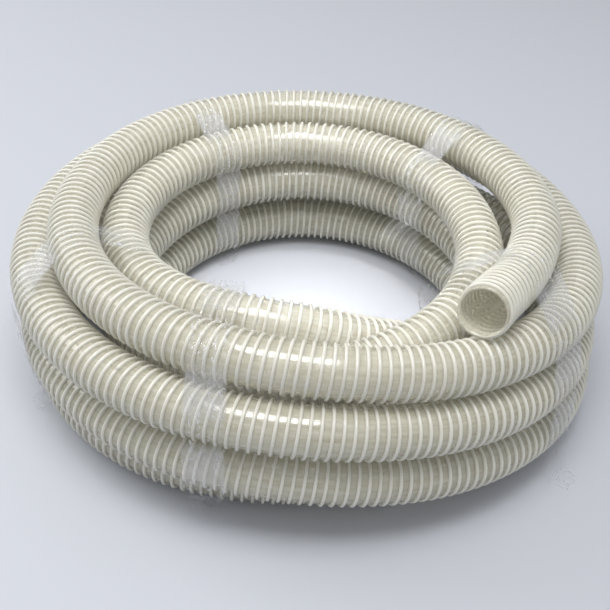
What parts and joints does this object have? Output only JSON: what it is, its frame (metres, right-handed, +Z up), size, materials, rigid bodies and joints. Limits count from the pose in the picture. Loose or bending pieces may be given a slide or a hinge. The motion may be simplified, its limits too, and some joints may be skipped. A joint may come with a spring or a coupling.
{
  "type": "vacuum hose",
  "caption": "Ribbed flexible suction hose for pool vacuuming, bare ends, wound into a low coil and tied with clear film.",
  "frame": {"origin": "middle of the coil's box at the surface it lies on", "axes": "+Z up, the short way through the coil; the hose's free end lies on top at +X, -Y"},
  "size_m": [0.5672, 0.5497, 0.2148],
  "materials": {
    "hose_wall": "glossy translucent flexible PVC",
    "hose_rib": "smooth white rigid PVC rib",
    "tie_film": "clear wrinkled wrapping film"
  },
  "bodies": {
    "root": {"hose_turn_1": "hose_wall", "hose_turn_2": "hose_wall", "hose_turn_3": "hose_wall", "hose_turn_4": "hose_wall", "hose_turn_5": "hose_wall", "hose_turn_6": "hose_wall", "hose_turn_7": "hose_wall", "tie_front_left": "tie_film", "tie_left": "tie_film", "tie_back_left": "tie_film", "tie_back_right": "tie_film", "tie_right": "tie_film"}
  },
  "joints": []
}
